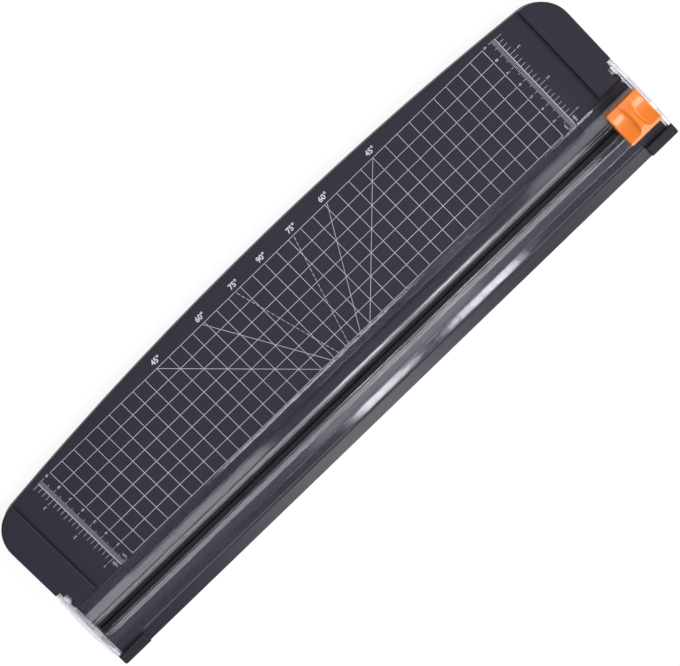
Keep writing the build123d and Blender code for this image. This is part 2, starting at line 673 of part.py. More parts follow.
def helix_point(turn, foot, height):
    """Point of a spring's middle line after so many turns from its foot, and the way it runs there."""
    angle = 2 * pi * turn
    rise = height / (2 * pi * SPRING_TURNS)
    point = foot + Vector(SPRING_RADIUS * cos(angle), SPRING_RADIUS * sin(angle), rise * angle)
    heading = Vector(-SPRING_RADIUS * sin(angle), SPRING_RADIUS * cos(angle), rise).normalized()
    return point, heading


def biarc_middle(start, start_heading, end, end_heading):
    """Point where two arcs meet that leave start and reach end along their headings."""
    chord = end - start
    both = start_heading + end_heading
    spread = 2 * (1 - start_heading.dot(end_heading))
    along = chord.dot(both)
    length = (sqrt(along**2 + spread * chord.dot(chord)) - along) / spread
    return (start + end + (start_heading - end_heading) * length) * 0.5


# Return springs between the carriage plate and the cap
wire_low = spring_floor + SPRING_WIRE / 2 + SPRING_END_GAP
wire_rise = ceiling - SPRING_WIRE / 2 - SPRING_END_GAP - wire_low
quarters = round(4 * SPRING_TURNS)
for side, place in ((1, "back"), (-1, "front")):
    foot_point = slider_plane.origin + Vector(0, side * spring_offset, wire_low)
    with BuildPart() as spring:
        with BuildLine() as wire_path:
            for quarter in range(quarters):
                start, start_heading = helix_point(quarter / 4, foot_point, wire_rise)
                end, end_heading = helix_point((quarter + 1) / 4, foot_point, wire_rise)
                middle = biarc_middle(start, start_heading, end, end_heading)
                first_arc = TangentArc(start, middle, tangent=start_heading)
                TangentArc(middle, end, tangent=first_arc % 1)
        with BuildSketch(Plane(origin=wire_path.line @ 0, z_dir=wire_path.line % 0)):
            Circle(SPRING_WIRE / 2)
        sweep(path=wire_path.line)
    save(spring.part, f"return_spring_{place}")

# Least gap between neighbouring turns of a spring, measured on points half a turn apart or more
wire_points = [
    helix_point(step / STEPS_A_TURN, foot_point, wire_rise)[0]
    for step in range(round(STEPS_A_TURN * SPRING_TURNS) + 1)
]
least_gap = min(
    (wire_points[a] - wire_points[b]).length - SPRING_WIRE
    for a in range(len(wire_points))
    for b in range(a + STEPS_A_TURN // 2, len(wire_points))
)
print(f"least gap between spring turns {least_gap:.2f} mm")
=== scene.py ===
"""Looks of a desk paper trimmer: printed bed, clear guide rail and press-to-cut slider.

Everything is in metres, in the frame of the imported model. X runs along the cut, -Y is the front
and +Z is up. Ink is laid on as thin slabs, and each finish is a procedural material.
"""

import bmesh
import bpy
import numpy as np
from mathutils import Matrix, Vector


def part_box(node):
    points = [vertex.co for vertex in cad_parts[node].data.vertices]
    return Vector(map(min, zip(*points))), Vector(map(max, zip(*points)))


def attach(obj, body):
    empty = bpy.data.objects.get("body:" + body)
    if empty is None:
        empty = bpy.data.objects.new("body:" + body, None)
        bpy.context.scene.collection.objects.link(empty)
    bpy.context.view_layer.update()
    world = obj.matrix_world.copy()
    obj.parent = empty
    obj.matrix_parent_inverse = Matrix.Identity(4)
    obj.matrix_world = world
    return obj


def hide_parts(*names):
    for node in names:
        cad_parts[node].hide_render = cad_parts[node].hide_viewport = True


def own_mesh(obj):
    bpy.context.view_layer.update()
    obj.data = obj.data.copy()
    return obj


bl_info = {
    "name": "Paper Trimmer Looks",
    "version": (1, 0, 0),
    "blender": (4, 5, 0),
    "location": "3D View > Sidebar > Trimmer",
    "description": "Prints the bed, dresses the rail and slider, and sets the studio",
    "category": "Object",
}

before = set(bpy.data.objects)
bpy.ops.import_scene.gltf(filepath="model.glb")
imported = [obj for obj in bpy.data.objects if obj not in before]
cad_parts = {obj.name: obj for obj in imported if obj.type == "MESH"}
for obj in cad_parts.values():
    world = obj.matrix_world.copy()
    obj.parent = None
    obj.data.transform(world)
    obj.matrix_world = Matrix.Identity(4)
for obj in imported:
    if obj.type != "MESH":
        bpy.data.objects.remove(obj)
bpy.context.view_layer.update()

# A millimetre in metres, millimetres in a centimetre, and eighths in an inch
MM = 0.001
CM_STEPS = 10
INCH_STEPS = 8

# Height of the bed, the line of the cut, and the nodes that share a finish
BED_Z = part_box("cutting_strip")[1].z
CUT_Y = (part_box("cutting_strip")[0].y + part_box("cutting_strip")[1].y) / 2
FEET = [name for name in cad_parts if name.startswith("foot_")]
RAIL_STRIPS = ["rail_strip_back", "rail_strip_front"]
RAIL_ENDS = ["rail_end_left", "rail_end_right"]
SPRINGS = {"spring_coil_back": "return_spring_back", "spring_coil_front": "return_spring_front"}

# Where the fences stand, how far short of them a finish ends, and the lugs' back edge
FENCE_X = 210.5 * MM
FENCE_SLACK = 0.05 * MM
LUG_BACK_Y = -57.4 * MM

# Share of a font's size that its digits stand tall, and the distance within which points are welded
DIGIT_SHARE = 0.73
WELD = 1e-7

# Rings on a turn of a spring, and corners of a ring
RINGS_A_TURN = 36
WIRE_CORNERS = 12

# Most values of a noise lie between these two
NOISE_LOW = 0.3
NOISE_HIGH = 0.7

# How far a moulded surface's roughness strays, and the lip's own
SHEEN_SPREAD = 0.06
LIP_ROUGHNESS = 0.24

# Directions across, down and into the picture, fitted to the printed grid
CAMERA_ACROSS = (0.716268, -0.695261, 0.059771)
CAMERA_DOWN = (-0.695054, -0.703177, 0.149805)
CAMERA_AHEAD = (-0.062124, -0.148845, -0.986907)
SENSOR_WIDTH = 36.0
CLIP_END = 20.0

# The floor reaches this far to every side, with so many points along a side
FLOOR_REACH = 12.0
FLOOR_POINTS = 5

# Lamps beside the two large fills: name, place, point that it faces, size, and power in watts
LAMPS = (
    ("front_fill", (0.25, -1.28, 0.62), (0.1, -0.04, 0), (0.8, 0.55), 6.0),
    ("lip_sheen", (-0.17, -0.97, 1.30), (0, -0.06, 0), (0.34, 0.24), 3.3),
    ("back_lip_line", (-0.125, -0.16, 1.30), (-0.125, -0.04, 0), (0.81, 0.05), 0.56),
    ("front_lip_line", (-0.125, -0.363, 1.30), (-0.125, -0.04, 0), (0.81, 0.05), 0.78),
    ("front_low", (-0.12, -2.50, 0.22), (0.02, -0.05, 0), (0.40, 0.30), 0.42),
    ("cap_sheen", (0.37, -0.77, 1.30), (0.2, -0.04, 0), (0.20, 0.32), 3.0),
    ("flange_glint_left", (-0.087, -0.3075, 1.316), (0, -0.05, 0), (0.096, 0.055), 0.30),
    ("flange_glint_right", (0.075, -0.3075, 1.316), (0, -0.05, 0), (0.120, 0.055), 0.40),
    ("back_fill", (-0.60, 1.25, 0.60), (-0.1, 0, 0), (0.7, 0.4), 2.4),
    ("back_fill_right", (0.45, 1.20, 0.58), (0.1, 0, 0), (0.5, 0.4), 1.1),
    ("back_high", (0.35, 1.00, 1.25), (0.2, 0, 0), (0.6, 0.6), 3.0),
)


class TrimmerPrint(bpy.types.PropertyGroup):
    """Sizes of the printed grid and scales."""

    square: bpy.props.FloatProperty(
        name="Square", description="Side of a grid square", default=10 * MM, unit="LENGTH"
    )
    columns: bpy.props.IntProperty(name="Columns", description="Squares along the cut", default=36)
    rows: bpy.props.IntProperty(name="Rows", description="Squares away from the cut", default=7)
    grid_front: bpy.props.FloatProperty(
        name="Grid Front", description="Grid's front line, from the middle of the base",
        default=-17.9 * MM, unit="LENGTH",
    )
    line: bpy.props.FloatProperty(
        name="Line", description="Width of a printed line", default=0.26 * MM, unit="LENGTH"
    )
    tick: bpy.props.FloatProperty(
        name="Tick", description="Width of a side scale's tick", default=0.2 * MM, unit="LENGTH"
    )
    scale_line: bpy.props.FloatProperty(
        name="Scale Line", description="Width of a side scale's long line",
        default=0.42 * MM, unit="LENGTH",
    )
    rail_tick: bpy.props.FloatProperty(
        name="Rail Tick", description="Width of a tick on the rail", default=0.35 * MM, unit="LENGTH"
    )
    ink: bpy.props.FloatProperty(
        name="Ink", description="How far the ink stands above the plastic",
        default=0.03 * MM, unit="LENGTH",
    )
    scale_offset: bpy.props.FloatProperty(
        name="Scale Offset", description="From the grid's end to a side scale",
        default=10 * MM, unit="LENGTH",
    )
    angle_text: bpy.props.FloatProperty(
        name="Angle Text", description="Height of the angle numbers", default=3.5 * MM, unit="LENGTH"
    )
    scale_text: bpy.props.FloatProperty(
        name="Scale Text", description="Height of the scale numbers", default=2.2 * MM, unit="LENGTH"
    )
    unit_text: bpy.props.FloatProperty(
        name="Unit Text", description="Height of the units below the scales",
        default=1.9 * MM, unit="LENGTH",
    )
    rail_text: bpy.props.FloatProperty(
        name="Rail Text", description="Height of the numbers on the rail",
        default=1.5 * MM, unit="LENGTH",
    )
    boldness: bpy.props.FloatProperty(
        name="Boldness", description="How far the angle numbers swell",
        default=0.12 * MM, unit="LENGTH",
    )


class TrimmerSpring(bpy.types.PropertyGroup):
    """Sizes of the return springs' winding."""

    wire: bpy.props.FloatProperty(
        name="Wire", description="Diameter of the spring wire", default=0.4 * MM, unit="LENGTH"
    )
    turns: bpy.props.FloatProperty(name="Turns", description="Turns of a return spring", default=3.5)


class TrimmerFinish(bpy.types.PropertyGroup):
    """Colours of the plastics and the ink."""

    base: bpy.props.FloatVectorProperty(
        name="Base", description="Moulded bed and end blocks",
        subtype="COLOR", default=(0.0228, 0.0202, 0.0355),
    )
    lug: bpy.props.FloatVectorProperty(
        name="Lugs", description="Front lugs beside the lip",
        subtype="COLOR", default=(0.020, 0.0185, 0.029),
    )
    ink: bpy.props.FloatVectorProperty(
        name="Ink", description="Print on the bed", subtype="COLOR", default=(0.62, 0.61, 0.70)
    )
    cap: bpy.props.FloatVectorProperty(
        name="Cap", description="Press cap and carriage", subtype="COLOR", default=(0.97, 0.26, 0.024)
    )
    clear: bpy.props.FloatVectorProperty(
        name="Rail", description="Tint of the clear rail strips",
        subtype="COLOR", default=(0.78, 0.78, 0.82),
    )
    ends: bpy.props.FloatVectorProperty(
        name="Rail Ends", description="Tint of the clear end plates",
        subtype="COLOR", default=(0.90, 0.89, 0.93),
    )


class TrimmerStage(bpy.types.PropertyGroup):
    """Camera and light."""

    camera_place: bpy.props.FloatVectorProperty(
        name="Camera", description="Where the camera stands", subtype="TRANSLATION",
        default=(85.05 * MM, 187.04 * MM, 1315.87 * MM),
    )
    lens: bpy.props.FloatProperty(
        name="Lens", description="Focal length on a 36 mm wide sensor", default=116.75, unit="CAMERA"
    )
    zenith: bpy.props.FloatProperty(
        name="Zenith", description="Sky's strength overhead", default=0.13
    )
    horizon: bpy.props.FloatProperty(
        name="Horizon", description="Sky's strength at floor level", default=0.38
    )
    fill: bpy.props.FloatProperty(
        name="Fill", description="Power of the large lamp at the right", default=92.0, unit="POWER"
    )
    left_fill: bpy.props.FloatProperty(
        name="Left Fill", description="Power of the lamp at the left", default=1.8, unit="POWER"
    )


def solid_mesh(name, points, faces):
    """A mesh object from an array of points and an array of four-cornered faces."""
    mesh = bpy.data.meshes.new(name)
    mesh.from_pydata(points.reshape(-1, 3).tolist(), [], faces.reshape(-1, 4).tolist())
    mesh.update()
    piece = bpy.data.objects.new(name, mesh)
    bpy.context.scene.collection.objects.link(piece)
    return piece


def carried_profile(profiles):
    """Faces over n bars of k rings with an even number of corners, c, each.

    profiles has the shape (n, k, c, 3): along every bar the ring of corners is carried from ring to
    ring, and neighbouring corners give the side faces. The first and last rings are closed by a
    ladder of faces, whose rungs join a corner with its opposite one.
    """
    count, rings, corners = profiles.shape[:3]
    first = (np.arange(count) * rings * corners)[:, None, None, None]
    ring = (np.arange(rings - 1) * corners)[None, :, None, None]
    corner = np.arange(corners)[None, None, :, None]
    turn = (corner + 1) % corners
    sides = [ring + corner, ring + turn, ring + turn + corners, ring + corner + corners]
    sides = (first + np.concatenate(sides, axis=-1)).reshape(-1, 4)
    rung = np.arange(corners // 2 - 1)[:, None]
    ladder = np.concatenate([rung, rung + 1, corners - 2 - rung, corners - 1 - rung], axis=1)
    start = (first.reshape(-1, 1, 1) + ladder[:, ::-1]).reshape(-1, 4)
    end = (first.reshape(-1, 1, 1) + (rings - 1) * corners + ladder).reshape(-1, 4)
    return np.concatenate([sides, start, end])


def coil(foot, radius, wire, rise, turns):
    """A spring: the wire's round outline is carried along a helix that climbs evenly from its foot.

    Each ring is a circle across the run, spanned by the way out from the helix's axis and by the
    cross product of the run with it. The result has the shape (1, rings, corners, 3).
    """
    angle = np.linspace(0, 2 * np.pi * turns, round(RINGS_A_TURN * turns) + 1)
    climb = rise / (2 * np.pi * turns)
    out = np.stack([np.cos(angle), np.sin(angle), np.zeros_like(angle)], -1)
    run = np.stack([-radius * np.sin(angle), radius * np.cos(angle), np.full_like(angle, climb)], -1)
    run = run / np.linalg.norm(run, axis=-1, keepdims=True)
    across = np.cross(run, out)
    middle = foot + radius * out + np.stack([0 * angle, 0 * angle, climb * angle], -1)
    around = np.linspace(0, 2 * np.pi, WIRE_CORNERS, endpoint=False)[:, None]
    circle = np.cos(around) * out[:, None] + np.sin(around) * across[:, None]
    return (middle[:, None] + wire / 2 * circle)[None]


def pairs(x, y):
    """Points (x, y) from two arrays, or from an array and a number that all its points share."""
    return np.stack(np.broadcast_arrays(x, y), -1)


def slabs(starts, ends, width, low, high):
    """Straight bars of ink: each runs from start to end on the bed with a rectangle for a profile.

    The rectangle stands across the run, half the width to either side, from low to high.
    """
    run = ends - starts
    run = run / np.linalg.norm(run, axis=1, keepdims=True)
    across = np.stack([-run[:, 1], run[:, 0]], axis=1) * (np.asarray(width) / 2).reshape(-1, 1)
    base = np.stack([starts, ends], axis=1)
    right = base - across[:, None]
    left = base + across[:, None]
    corners = np.stack([right, left, left, right], axis=2)
    heights = np.broadcast_to(np.array([low, low, high, high]), corners.shape[:3])
    return np.concatenate([corners, heights[..., None]], axis=-1)


def ink_words(name, labels, surface_z, ink, boldness=0.0):
    """One piece made of numbers and units, each (text, height, x, y, turn in radians).

    Every text is turned into a mesh at the origin, and then moved to its place, where it is sunk
    into the surface by the ink's thickness and stands proud by as much.
    """
    joined = bmesh.new()
    for text, height, x, y, turn in labels:
        curve = bpy.data.curves.new(name, "FONT")
        curve.body = text
        curve.size = height / DIGIT_SHARE
        curve.offset = boldness
        curve.extrude = ink
        curve.resolution_u = 3
        curve.align_x = "CENTER"
        curve.align_y = "CENTER"
        holder = bpy.data.objects.new(name, curve)
        letters = bpy.data.meshes.new_from_object(holder)
        letters.transform(Matrix.Translation((x, y, surface_z)) @ Matrix.Rotation(turn, 4, "Z"))
        joined.from_mesh(letters)
        bpy.data.objects.remove(holder)
        bpy.data.curves.remove(curve)
        bpy.data.meshes.remove(letters)
    bmesh.ops.remove_doubles(joined, verts=joined.verts, dist=WELD)
    mesh = bpy.data.meshes.new(name)
    joined.to_mesh(mesh)
    joined.free()
    piece = bpy.data.objects.new(name, mesh)
    bpy.context.scene.collection.objects.link(piece)
    return piece


def tick_lengths(index, lengths, steps):
    """Lengths of a scale's ticks: tall at each whole unit, middle at each half unit, else short."""
    short, middle, tall = lengths
    halves = np.where(index % (steps // 2) == 0, middle, short)
    return np.where(index % steps == 0, tall, halves)


def new_group(name, inputs, outputs):
    """An empty shader node group with named float inputs and outputs, and its end nodes."""
    group = bpy.data.node_groups.new(name, "ShaderNodeTree")
    for socket, value in inputs.items():
        made = group.interface.new_socket(socket, in_out="INPUT", socket_type="NodeSocketFloat")
        made.default_value = value
    for socket in outputs:
        group.interface.new_socket(socket, in_out="OUTPUT", socket_type="NodeSocketFloat")
    return group, group.nodes.new("NodeGroupInput"), group.nodes.new("NodeGroupOutput")


def moulded_grain():
    """Grain of a spark-eroded mould: fine noise for the bump and slow noise for the sheen."""
    if "moulded_grain" in bpy.data.node_groups:
        return bpy.data.node_groups["moulded_grain"]
    inputs = {"Fineness": 2600.0, "Slow": 18.0}
    group, given, out = new_group("moulded_grain", inputs, ["Height", "Cloud"])
    link = group.links.new
    place = group.nodes.new("ShaderNodeTexCoord")
    fine = group.nodes.new("ShaderNodeTexNoise")
    fine.inputs["Detail"].default_value = 2.0
    slow = group.nodes.new("ShaderNodeTexNoise")
    slow.inputs["Detail"].default_value = 3.0
    for noise, scale in ((fine, "Fineness"), (slow, "Slow")):
        link(place.outputs["Object"], noise.inputs["Vector"])
        link(given.outputs[scale], noise.inputs["Scale"])
    link(fine.outputs["Fac"], out.inputs["Height"])
    link(slow.outputs["Fac"], out.inputs["Cloud"])
    return group


def drawn_streaks():
    """Faint lines along X, as an extruded or moulded strip has: noise stretched along its length."""
    if "drawn_streaks" in bpy.data.node_groups:
        return bpy.data.node_groups["drawn_streaks"]
    inputs = {"Across": 700.0, "Along": 0.02}
    group, given, out = new_group("drawn_streaks", inputs, ["Height", "Waver"])
    link = group.links.new
    place = group.nodes.new("ShaderNodeTexCoord")
    share = group.nodes.new("ShaderNodeCombineXYZ")
    share.inputs["Y"].default_value = 1.0
    share.inputs["Z"].default_value = 1.0
    link(given.outputs["Along"], share.inputs["X"])
    stretch = group.nodes.new("ShaderNodeVectorMath")
    stretch.operation = "MULTIPLY"
    link(share.outputs["Vector"], stretch.inputs[1])
    lines = group.nodes.new("ShaderNodeTexNoise")
    lines.inputs["Detail"].default_value = 2.0
    waver = group.nodes.new("ShaderNodeTexNoise")
    waver.inputs["Scale"].default_value = 14.0
    waver.inputs["Detail"].default_value = 1.0
    link(place.outputs["Object"], stretch.inputs[0])
    link(stretch.outputs["Vector"], lines.inputs["Vector"])
    link(given.outputs["Across"], lines.inputs["Scale"])
    link(place.outputs["Object"], waver.inputs["Vector"])
    link(lines.outputs["Fac"], out.inputs["Height"])
    link(waver.outputs["Fac"], out.inputs["Waver"])
    return group


def new_finish(name):
    """A material with a Principled shader, its node tree and the shader."""
    finish = bpy.data.materials.new(name)
    finish.use_nodes = True
    shader = finish.node_tree.nodes["Principled BSDF"]
    return finish, finish.node_tree, shader


def place_group(tree, group, values):
    """Put a node group into a material with its own values."""
    node = tree.nodes.new("ShaderNodeGroup")
    node.node_tree = group
    for socket, value in values.items():
        node.inputs[socket].default_value = value
    return node


def spread(tree, source, low, high):
    """A value between low and high that follows a 0 to 1 source."""
    node = tree.nodes.new("ShaderNodeMapRange")
    node.inputs["To Min"].default_value = low
    node.inputs["To Max"].default_value = high
    tree.links.new(source, node.inputs["Value"])
    return node.outputs["Result"]


def shade_between(tree, source, dark, light):
    """A colour between dark and light that follows a noise."""
    ramp = tree.nodes.new("ShaderNodeValToRGB")
    ramp.color_ramp.elements[0].color = (*dark, 1)
    ramp.color_ramp.elements[0].position = NOISE_LOW
    ramp.color_ramp.elements[1].color = (*light, 1)
    ramp.color_ramp.elements[1].position = NOISE_HIGH
    tree.links.new(source, ramp.inputs["Fac"])
    return ramp.outputs["Color"]


def bump_from(tree, source, strength, distance):
    """A normal from a height, for the shader's Normal socket."""
    bump = tree.nodes.new("ShaderNodeBump")
    bump.inputs["Strength"].default_value = strength
    bump.inputs["Distance"].default_value = distance
    tree.links.new(source, bump.inputs["Height"])
    return bump.outputs["Normal"]


def tinted(colour, factor):
    """A colour made darker or lighter by one factor."""
    return tuple(channel * factor for channel in colour)


def moulded_plastic(name, colour, roughness, fineness, depth, variety=0.06):
    """Matte moulded plastic: grain in the bump, soft clouds in colour and roughness."""
    finish, tree, shader = new_finish(name)
    shader.inputs["Specular IOR Level"].default_value = 0.25
    grain = place_group(tree, moulded_grain(), {"Fineness": fineness, "Slow": 18.0})
    cloud = grain.outputs["Cloud"]
    base = shade_between(tree, cloud, tinted(colour, 1 - variety), tinted(colour, 1 + variety))
    sheen = spread(tree, cloud, roughness - SHEEN_SPREAD, roughness + SHEEN_SPREAD)
    normal = bump_from(tree, grain.outputs["Height"], strength=0.35, distance=depth)
    tree.links.new(base, shader.inputs["Base Color"])
    tree.links.new(sheen, shader.inputs["Roughness"])
    tree.links.new(normal, shader.inputs["Normal"])
    return finish


def compare(tree, operation, source, limit):
    """One where a value passes a limit, and zero elsewhere."""
    node = tree.nodes.new("ShaderNodeMath")
    node.operation = operation
    node.inputs[1].default_value = limit
    tree.links.new(source, node.inputs[0])
    return node.outputs["Value"]


def join_values(tree, operation, first, second):
    """Two values joined by one operation, such as the product of two masks."""
    node = tree.nodes.new("ShaderNodeMath")
    node.operation = operation
    tree.links.new(first, node.inputs[0])
    tree.links.new(second, node.inputs[1])
    return node.outputs["Value"]


def base_plastic(colours):
    """The bed's plastic, with darker lugs and a smoother lip along the front.

    Both masks hold in front of the rail: the lugs lie outside the fences, the lip between them.
    """
    finish = moulded_plastic(
        "base_plastic", tuple(colours.base), roughness=0.5, fineness=2600.0, depth=0.02 * MM
    )
    tree = finish.node_tree
    shader = tree.nodes["Principled BSDF"]
    place = tree.nodes.new("ShaderNodeTexCoord")
    split = tree.nodes.new("ShaderNodeSeparateXYZ")
    tree.links.new(place.outputs["Object"], split.inputs["Vector"])
    side = tree.nodes.new("ShaderNodeMath")
    side.operation = "ABSOLUTE"
    tree.links.new(split.outputs["X"], side.inputs[0])
    front = compare(tree, "LESS_THAN", split.outputs["Y"], LUG_BACK_Y)
    outside = compare(tree, "GREATER_THAN", side.outputs["Value"], FENCE_X - FENCE_SLACK)
    between = compare(tree, "LESS_THAN", side.outputs["Value"], FENCE_X - FENCE_SLACK)
    shade = tree.nodes.new("ShaderNodeMix")
    shade.data_type = "RGBA"
    shade.inputs["B"].default_value = (*colours.lug, 1)
    plain = shader.inputs["Base Color"].links[0].from_socket
    tree.links.new(join_values(tree, "MULTIPLY", front, outside), shade.inputs["Factor"])
    tree.links.new(plain, shade.inputs["A"])
    tree.links.new(shade.outputs["Result"], shader.inputs["Base Color"])
    gloss = tree.nodes.new("ShaderNodeMix")
    gloss.inputs["B"].default_value = LIP_ROUGHNESS
    dull = shader.inputs["Roughness"].links[0].from_socket
    tree.links.new(join_values(tree, "MULTIPLY", front, between), gloss.inputs["Factor"])
    tree.links.new(dull, gloss.inputs["A"])
    tree.links.new(gloss.outputs["Result"], shader.inputs["Roughness"])
    return finish


def gloss_plastic(name, colour):
    """Glossy moulded plastic, slightly translucent, with a faint ripple and an uneven shine.

    Red light travels furthest inside it, so shaded walls glow a deeper red.
    """
    finish, tree, shader = new_finish(name)
    shader.inputs["Specular IOR Level"].default_value = 0.4
    shader.inputs["Subsurface Weight"].default_value = 0.6
    shader.inputs["Subsurface Radius"].default_value = (1.0, 0.2, 0.05)
    shader.inputs["Subsurface Scale"].default_value = 2.0 * MM
    shader.inputs["Coat Weight"].default_value = 0.35
    shader.inputs["Coat Roughness"].default_value = 0.12
    grain = place_group(tree, moulded_grain(), {"Fineness": 420.0, "Slow": 60.0})
    cloud = grain.outputs["Cloud"]
    base = shade_between(tree, cloud, tinted(colour, 0.96), tinted(colour, 1.03))
    sheen = spread(tree, cloud, low=0.24, high=0.36)
    normal = bump_from(tree, grain.outputs["Height"], strength=0.08, distance=0.02 * MM)
    tree.links.new(base, shader.inputs["Base Color"])
    tree.links.new(sheen, shader.inputs["Roughness"])
    tree.links.new(normal, shader.inputs["Normal"])
    return finish


def clear_plastic(name, tint, ripple, clarity):
    """Clear polished plastic. Lamp light passes it straight, so what lies under it isn't black."""
    finish, tree, shader = new_finish(name)
    streaks = place_group(tree, drawn_streaks(), {"Across": 350.0, "Along": 0.001})
    shader.inputs["Base Color"].default_value = (*tint, 1)
    shader.inputs["IOR"].default_value = 1.49
    shader.inputs["Specular Tint"].default_value = (0.97, 0.94, 1.0, 1)
    shader.inputs["Transmission Weight"].default_value = clarity
    sheen = spread(tree, streaks.outputs["Waver"], low=0.05, high=0.09)
    normal = bump_from(tree, streaks.outputs["Height"], strength=ripple, distance=0.03 * MM)
    tree.links.new(sheen, shader.inputs["Roughness"])
    tree.links.new(normal, shader.inputs["Normal"])
    path = tree.nodes.new("ShaderNodeLightPath")
    through = tree.nodes.new("ShaderNodeBsdfTransparent")
    through.inputs["Color"].default_value = (*tint, 1)
    mix = tree.nodes.new("ShaderNodeMixShader")
    out = tree.nodes["Material Output"]
    tree.links.new(path.outputs["Is Shadow Ray"], mix.inputs["Fac"])
    tree.links.new(shader.outputs["BSDF"], mix.inputs[1])
    tree.links.new(through.outputs["BSDF"], mix.inputs[2])
    tree.links.new(mix.outputs["Shader"], out.inputs["Surface"])
    return finish


def ground_steel(name, colour, roughness):
    """Steel with fine grinding lines in colour, roughness and bump."""
    finish, tree, shader = new_finish(name)
    streaks = place_group(tree, drawn_streaks(), {"Across": 5000.0, "Along": 0.02})
    lines = streaks.outputs["Height"]
    shader.inputs["Metallic"].default_value = 1.0
    base = shade_between(tree, lines, tinted(colour, 0.85), colour)
    sheen = spread(tree, lines, low=roughness - 0.08, high=roughness + 0.12)
    normal = bump_from(tree, lines, strength=0.15, distance=0.01 * MM)
    tree.links.new(base, shader.inputs["Base Color"])
    tree.links.new(sheen, shader.inputs["Roughness"])
    tree.links.new(normal, shader.inputs["Normal"])
    return finish


def wear(piece_names, finish):
    """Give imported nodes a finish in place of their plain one."""
    for name in piece_names:
        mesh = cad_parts[name].data
        mesh.materials.clear()
        mesh.materials.append(finish)


def lay_on(piece, finish, body):
    """Finish a new piece and let it move with its body."""
    piece.data.materials.append(finish)
    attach(piece, body)


def bed_lines(name, starts, ends, width, ink):
    """One piece of straight bars of ink, sunk into the bed by the ink's thickness, proud by as much."""
    bars = slabs(starts, ends, width, BED_Z - ink, BED_Z + ink)
    lines = solid_mesh(name, bars, carried_profile(bars))
    lay_on(lines, bpy.data.materials["bed_ink"], "base")


def bed_words(name, labels, ink, boldness=0.0):
    """One piece of numbers and units on the bed."""
    words = ink_words(name, labels, BED_Z, ink, boldness)
    lay_on(words, bpy.data.materials["bed_ink"], "base")


class TRIMMER_OT_dress_base(bpy.types.Operator):
    """Finish the moulded base, its cutting strip and the rubber feet"""

    bl_idname = "trimmer.dress_base"
    bl_label = "Dress Base"

    def execute(self, context):
        strip = moulded_plastic(
            "strip_plastic", (0.008, 0.008, 0.009), roughness=0.6, fineness=1800.0, depth=0.03 * MM
        )
        rubber = moulded_plastic(
            "foot_rubber", (0.020, 0.020, 0.021),
            roughness=0.85, fineness=1500.0, depth=0.06 * MM, variety=0.2,
        )
        wear(["base_shell"], base_plastic(context.scene.trimmer_finish))
        wear(["cutting_strip"], strip)
        wear(FEET, rubber)
        return {"FINISHED"}


class TRIMMER_OT_print_grid(bpy.types.Operator):
    """Print the grid, the angle lines and their numbers on the bed"""

    bl_idname = "trimmer.print_grid"
    bl_label = "Print Grid"

    # Where the full and the dashed angle lines leave the grid's front line and reach its back line
    line_feet = np.array([-20.0, -12.0, 12.0, 20.0]) * MM
    line_tops = np.array([-90.0, -52.0, 52.0, 90.0]) * MM
    dashed_feet = np.array([[-5.7], [2.2]]) * MM
    dashed_tops = np.array([[-24.4], [24.1]]) * MM

    # Dashes on a line, and the share of a dash's step that is inked
    dashes = 21
    dash_share = 0.7

    # The angles' row behind the grid, and their places along it
    label_gap = 3.9 * MM
    labels = ("45°", "60°", "75°", "90°", "75°", "60°", "45°")
    label_places = np.array([-87.0, -50.0, -22.0, 1.1, 26.0, 52.5, 91.5]) * MM

    def execute(self, context):
        sizes = context.scene.trimmer_print
        moulded_plastic(
            "bed_ink", tuple(context.scene.trimmer_finish.ink),
            roughness=0.6, fineness=3000.0, depth=0.01 * MM, variety=0.1,
        )
        right = sizes.columns * sizes.square / 2
        front = sizes.grid_front
        back = front + sizes.rows * sizes.square
        across = np.linspace(-right, right, sizes.columns + 1)
        along = np.linspace(front, back, sizes.rows + 1)
        starts = np.concatenate([pairs(across, front), pairs(-right, along)])
        ends = np.concatenate([pairs(across, back), pairs(right, along)])
        bed_lines("grid_lines", starts, ends, sizes.line, sizes.ink)
        starts = pairs(self.line_feet, front)
        ends = pairs(self.line_tops, back)
        bed_lines("angle_lines", starts, ends, sizes.line, sizes.ink)
        begin = np.arange(self.dashes) / self.dashes
        stop = begin + self.dash_share / self.dashes
        lean = self.dashed_tops - self.dashed_feet
        starts = pairs(self.dashed_feet + lean * begin, front + (back - front) * begin)
        ends = pairs(self.dashed_feet + lean * stop, front + (back - front) * stop)
        bed_lines("dashed_lines", starts.reshape(-1, 2), ends.reshape(-1, 2), sizes.line, sizes.ink)
        row = back + self.label_gap
        numbers = [
            (text, sizes.angle_text, x, row, 0.0) for text, x in zip(self.labels, self.label_places)
        ]
        bed_words("angle_numbers", numbers, sizes.ink, sizes.boldness)
        return {"FINISHED"}


